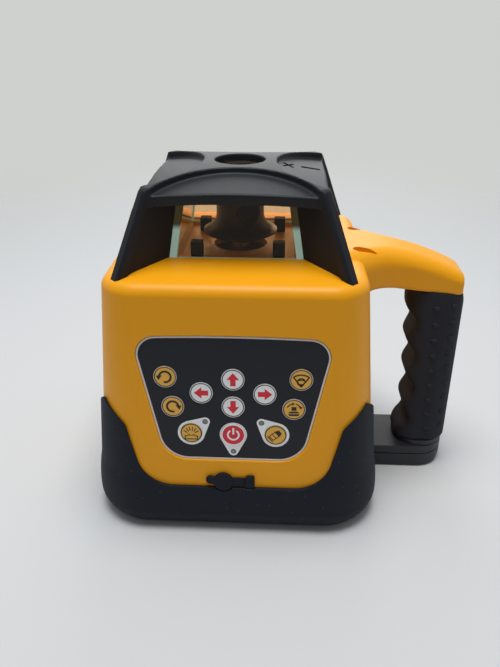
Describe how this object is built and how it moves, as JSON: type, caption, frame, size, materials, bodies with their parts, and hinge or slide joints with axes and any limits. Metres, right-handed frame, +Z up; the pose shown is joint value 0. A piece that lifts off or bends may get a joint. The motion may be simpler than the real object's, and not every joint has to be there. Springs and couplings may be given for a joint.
{
  "type": "rotary laser level",
  "caption": "Self-levelling rotary laser level: glass-walled spinning head under a domed roof, keypad front, side handle, rubber bumper and tripod thread.",
  "frame": {"origin": "mouth of the tripod thread in the base, on the spin axis", "axes": "+Z up along the spin axis, +X towards the handle, -Y towards the keypad"},
  "size_m": [0.2104, 0.1618, 0.1898],
  "materials": {
    "orange_plastic": "fine satin moulding",
    "black_plastic": "fine textured moulding",
    "black_rubber": "soft matt overmould",
    "panel_film": "printed satin film",
    "clear_glass": "clear with green edges",
    "optic_glass": "coated optic",
    "rotor_plastic": "dark satin",
    "amber_keys": "satin key",
    "white_keys": "satin key",
    "red_keys": "satin key",
    "clear_plastic": "clear lens",
    "cast_aluminium": "machined",
    "bright_steel": "bright",
    "brass": "turned",
    "board_green": "solder mask",
    "socket_plastic": "moulded",
    "belt_rubber": "matt",
    "cell_sleeve": "printed sleeve"
  },
  "bodies": {
    "housing": {"main_housing": "orange_plastic", "head_cage": "black_plastic", "top_window": "clear_glass", "window_front": "clear_glass", "window_rear": "clear_glass", "window_left": "clear_glass", "window_right": "clear_glass", "deck_buffers": "black_rubber", "rubber_bumper": "black_rubber", "base_tray": "black_plastic", "tripod_plate": "cast_aluminium", "base_screws": "bright_steel", "battery_cover": "black_plastic", "battery_cells": "cell_sleeve", "battery_contacts": "bright_steel", "chassis_plate": "cast_aluminium", "gimbal_brackets": "cast_aluminium", "levelling_motors": "bright_steel", "guide_rods": "bright_steel", "handle_core": "black_plastic", "handle_grip": "black_rubber", "keypad_panel": "panel_film", "control_board": "board_green", "dome_switches": "socket_plastic", "indicator_lights": "clear_plastic", "charge_socket": "socket_plastic", "plug_anchor": "black_rubber"},
    "gimbal_ring": {"gimbal_ring": "cast_aluminium"},
    "laser_carrier": {"laser_tube": "cast_aluminium", "laser_module": "brass", "collimator_lens": "optic_glass", "spindle_bearings": "bright_steel", "tilt_arms": "cast_aluminium", "motor_plate": "cast_aluminium", "spin_motor": "bright_steel", "level_vials": "optic_glass", "drive_belt": "belt_rubber"},
    "rotor": {"spindle": "bright_steel", "spindle_pulley": "cast_aluminium", "rotor_bell": "rotor_plastic", "penta_prism": "optic_glass", "rotor_lens": "optic_glass"},
    "motor_pulley": {"motor_pulley": "cast_aluminium"},
    "level_nut_x": {"level_nut_x": "brass"},
    "level_nut_y": {"level_nut_y": "brass"},
    "level_screw_x": {"level_screw_x": "bright_steel"},
    "level_screw_y": {"level_screw_y": "bright_steel"},
    "port_plug": {"port_plug": "black_rubber"},
    "key_turn_left": {"key_turn_left": "amber_keys"},
    "key_turn_right": {"key_turn_right": "amber_keys"},
    "key_up": {"key_up": "white_keys"},
    "key_down": {"key_down": "white_keys"},
    "key_left": {"key_left": "white_keys"},
    "key_right": {"key_right": "white_keys"},
    "key_scan": {"key_scan": "amber_keys"},
    "key_speed": {"key_speed": "amber_keys"},
    "key_tilt_alarm": {"key_tilt_alarm": "amber_keys"},
    "key_power": {"key_power": "red_keys"},
    "key_manual": {"key_manual": "amber_keys"}
  },
  "joints": [
    {"name": "gimbal_roll", "type": "hinge", "parent": "housing", "child": "gimbal_ring", "pos_m": [0, 0, 0.112], "axis": [1, 0, 0], "range_deg": [-5, 5]},
    {"name": "gimbal_pitch", "type": "hinge", "parent": "gimbal_ring", "child": "laser_carrier", "pos_m": [0, 0, 0.112], "axis": [0, 1, 0], "range_deg": [-5, 5]},
    {"name": "rotor_spin", "type": "hinge", "parent": "laser_carrier", "child": "rotor", "pos_m": [0, 0, 0.15], "axis": [0, 0, 1], "continuous": true},
    {"name": "motor_spin", "type": "hinge", "parent": "laser_carrier", "child": "motor_pulley", "pos_m": [0, -0.037, 0.13], "axis": [0, 0, 1], "continuous": true},
    {"name": "nut_x_slide", "type": "slide", "parent": "housing", "child": "level_nut_x", "axis": [0, 0, 1], "range_m": [-0.00385, 0.00385]},
    {"name": "nut_y_slide", "type": "slide", "parent": "housing", "child": "level_nut_y", "axis": [0, 0, 1], "range_m": [-0.00385, 0.00385]},
    {"name": "screw_x_turn", "type": "hinge", "parent": "housing", "child": "level_screw_x", "pos_m": [-0.044, 0, 0.06], "axis": [0, 0, 1], "range_deg": [-693.2, 693.2]},
    {"name": "screw_y_turn", "type": "hinge", "parent": "housing", "child": "level_screw_y", "pos_m": [0, 0.044, 0.06], "axis": [0, 0, 1], "range_deg": [-693.2, 693.2]},
    {"name": "plug_hinge", "type": "hinge", "parent": "housing", "child": "port_plug", "pos_m": [0.0055, -0.07819, 0.03349], "axis": [0, 0.0847, 0.9964], "range_deg": [0, 100]},
    {"name": "key_turn_left_press", "type": "slide", "parent": "housing", "child": "key_turn_left", "axis": [0, 0.9964, -0.0847], "range_m": [0, 0.0006], "stiffness_N_per_m": 400, "springref_m": -0.0005},
    {"name": "key_turn_right_press", "type": "slide", "parent": "housing", "child": "key_turn_right", "axis": [0, 0.9964, -0.0847], "range_m": [0, 0.0006], "stiffness_N_per_m": 400, "springref_m": -0.0005},
    {"name": "key_up_press", "type": "slide", "parent": "housing", "child": "key_up", "axis": [0, 0.9964, -0.0847], "range_m": [0, 0.0006], "stiffness_N_per_m": 400, "springref_m": -0.0005},
    {"name": "key_down_press", "type": "slide", "parent": "housing", "child": "key_down", "axis": [0, 0.9964, -0.0847], "range_m": [0, 0.0006], "stiffness_N_per_m": 400, "springref_m": -0.0005},
    {"name": "key_left_press", "type": "slide", "parent": "housing", "child": "key_left", "axis": [0, 0.9964, -0.0847], "range_m": [0, 0.0006], "stiffness_N_per_m": 400, "springref_m": -0.0005},
    {"name": "key_right_press", "type": "slide", "parent": "housing", "child": "key_right", "axis": [0, 0.9964, -0.0847], "range_m": [0, 0.0006], "stiffness_N_per_m": 400, "springref_m": -0.0005},
    {"name": "key_scan_press", "type": "slide", "parent": "housing", "child": "key_scan", "axis": [0, 0.9964, -0.0847], "range_m": [0, 0.0006], "stiffness_N_per_m": 400, "springref_m": -0.0005},
    {"name": "key_speed_press", "type": "slide", "parent": "housing", "child": "key_speed", "axis": [0, 0.9964, -0.0847], "range_m": [0, 0.0006], "stiffness_N_per_m": 400, "springref_m": -0.0005},
    {"name": "key_tilt_alarm_press", "type": "slide", "parent": "housing", "child": "key_tilt_alarm", "axis": [0, 0.9964, -0.0847], "range_m": [0, 0.0006], "stiffness_N_per_m": 400, "springref_m": -0.0005},
    {"name": "key_power_press", "type": "slide", "parent": "housing", "child": "key_power", "axis": [0, 0.9964, -0.0847], "range_m": [0, 0.0006], "stiffness_N_per_m": 400, "springref_m": -0.0005},
    {"name": "key_manual_press", "type": "slide", "parent": "housing", "child": "key_manual", "axis": [0, 0.9964, -0.0847], "range_m": [0, 0.0006], "stiffness_N_per_m": 400, "springref_m": -0.0005}
  ],
  "couplings": [
    {"joint": "motor_spin", "follows": "rotor_spin", "ratio": 2.5},
    {"joint": "nut_x_slide", "follows": "gimbal_pitch", "m_per_rad": 0.044},
    {"joint": "nut_y_slide", "follows": "gimbal_roll", "m_per_rad": 0.044},
    {"joint": "screw_x_turn", "follows": "gimbal_pitch", "ratio": 138.23},
    {"joint": "screw_y_turn", "follows": "gimbal_roll", "ratio": 138.23}
  ]
}
